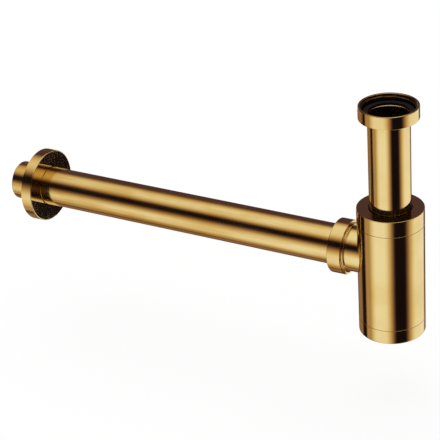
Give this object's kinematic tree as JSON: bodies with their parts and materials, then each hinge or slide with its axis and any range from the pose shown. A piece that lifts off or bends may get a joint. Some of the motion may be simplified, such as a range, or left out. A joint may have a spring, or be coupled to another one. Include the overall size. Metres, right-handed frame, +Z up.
{
  "type": "bottle trap",
  "caption": "Bottle trap for a wash basin: union nut on a straight inlet tube, round bottle with a screw-out cup, long level outlet tube and round wall flange.",
  "frame": {"origin": "centre of the inlet nut's open mouth, where its thread starts", "axes": "+Z up out of the inlet mouth, the outlet tube along -X towards the wall"},
  "size_m": [0.3702, 0.0604, 0.1895],
  "materials": {
    "polished_gold": "polished gold plate",
    "brushed_gold": "finely brushed gold plate",
    "black_rubber": "matt",
    "slip_plastic": "satin"
  },
  "bodies": {
    "inlet_nut": {"inlet_nut": "polished_gold"},
    "inlet_washer": {"inlet_washer": "black_rubber"},
    "inlet_tube": {"inlet_tube": "polished_gold"},
    "gland_seal": {"gland_seal": "black_rubber"},
    "bottle": {"bottle_body": "polished_gold", "outlet_spigot": "polished_gold"},
    "gland_slip_ring": {"gland_slip_ring": "slip_plastic"},
    "gland_nut": {"gland_nut": "polished_gold"},
    "cup_seal": {"cup_seal": "black_rubber"},
    "cup": {"cleaning_cup": "polished_gold"},
    "outlet_slip_ring": {"outlet_slip_ring": "slip_plastic"},
    "outlet_nut": {"outlet_nut": "polished_gold"},
    "outlet_seal": {"outlet_seal": "black_rubber"},
    "outlet_tube": {"outlet_tube": "brushed_gold"},
    "flange_seal": {"flange_seal": "black_rubber"},
    "wall_flange": {"wall_flange": "polished_gold"}
  },
  "joints": [
    {"name": "inlet_nut_slide", "type": "slide", "parent": "inlet_nut", "child": "inlet_washer", "axis": [0, 0, 1], "range_m": [0, 0.055]},
    {"name": "inlet_swivel", "type": "hinge", "parent": "inlet_washer", "child": "inlet_tube", "pos_m": [0, 0, -0.007], "axis": [0, 0, 1], "continuous": true},
    {"name": "height_adjust", "type": "slide", "parent": "inlet_tube", "child": "gland_seal", "axis": [0, 0, 1], "range_m": [-0.03, 0.008]},
    {"name": "bottle_swivel", "type": "hinge", "parent": "gland_seal", "child": "bottle", "pos_m": [0, 0, -0.09], "axis": [0, 0, 1], "continuous": true},
    {"name": "gland_nut_lift", "type": "slide", "parent": "bottle", "child": "gland_slip_ring", "axis": [0, 0, 1], "range_m": [0, 0.00925]},
    {"name": "gland_nut_turn", "type": "hinge", "parent": "gland_slip_ring", "child": "gland_nut", "pos_m": [0, 0, -0.087], "axis": [0, 0, 1], "range_deg": [0, 1440]},
    {"name": "cup_drop", "type": "slide", "parent": "bottle", "child": "cup_seal", "axis": [0, 0, -1], "range_m": [0, 0.00694]},
    {"name": "cup_turn", "type": "hinge", "parent": "cup_seal", "child": "cup", "pos_m": [0, 0, -0.177], "axis": [0, 0, -1], "range_deg": [0, 1080]},
    {"name": "outlet_nut_shift", "type": "slide", "parent": "bottle", "child": "outlet_slip_ring", "axis": [-1, 0, 0], "range_m": [0, 0.00751]},
    {"name": "outlet_nut_turn", "type": "hinge", "parent": "outlet_slip_ring", "child": "outlet_nut", "pos_m": [-0.042, 0, -0.1257], "axis": [-1, 0, 0], "range_deg": [0, 1800]},
    {"name": "outlet_turn", "type": "hinge", "parent": "bottle", "child": "outlet_seal", "pos_m": [-0.038, 0, -0.1257], "axis": [-1, 0, 0], "continuous": true},
    {"name": "outlet_reach", "type": "slide", "parent": "outlet_seal", "child": "outlet_tube", "axis": [-1, 0, 0], "range_m": [-0.004, 0.012]},
    {"name": "flange_slide", "type": "slide", "parent": "outlet_tube", "child": "flange_seal", "axis": [1, 0, 0], "range_m": [-0.02, 0.24]},
    {"name": "flange_turn", "type": "hinge", "parent": "flange_seal", "child": "wall_flange", "pos_m": [-0.317, 0, -0.1257], "axis": [1, 0, 0], "continuous": true}
  ],
  "couplings": [
    {"joint": "gland_nut_lift", "follows": "gland_nut_turn", "m_per_rad": 0.00036749},
    {"joint": "cup_drop", "follows": "cup_turn", "m_per_rad": 0.00036749},
    {"joint": "outlet_nut_shift", "follows": "outlet_nut_turn", "m_per_rad": 0.00023873}
  ]
}
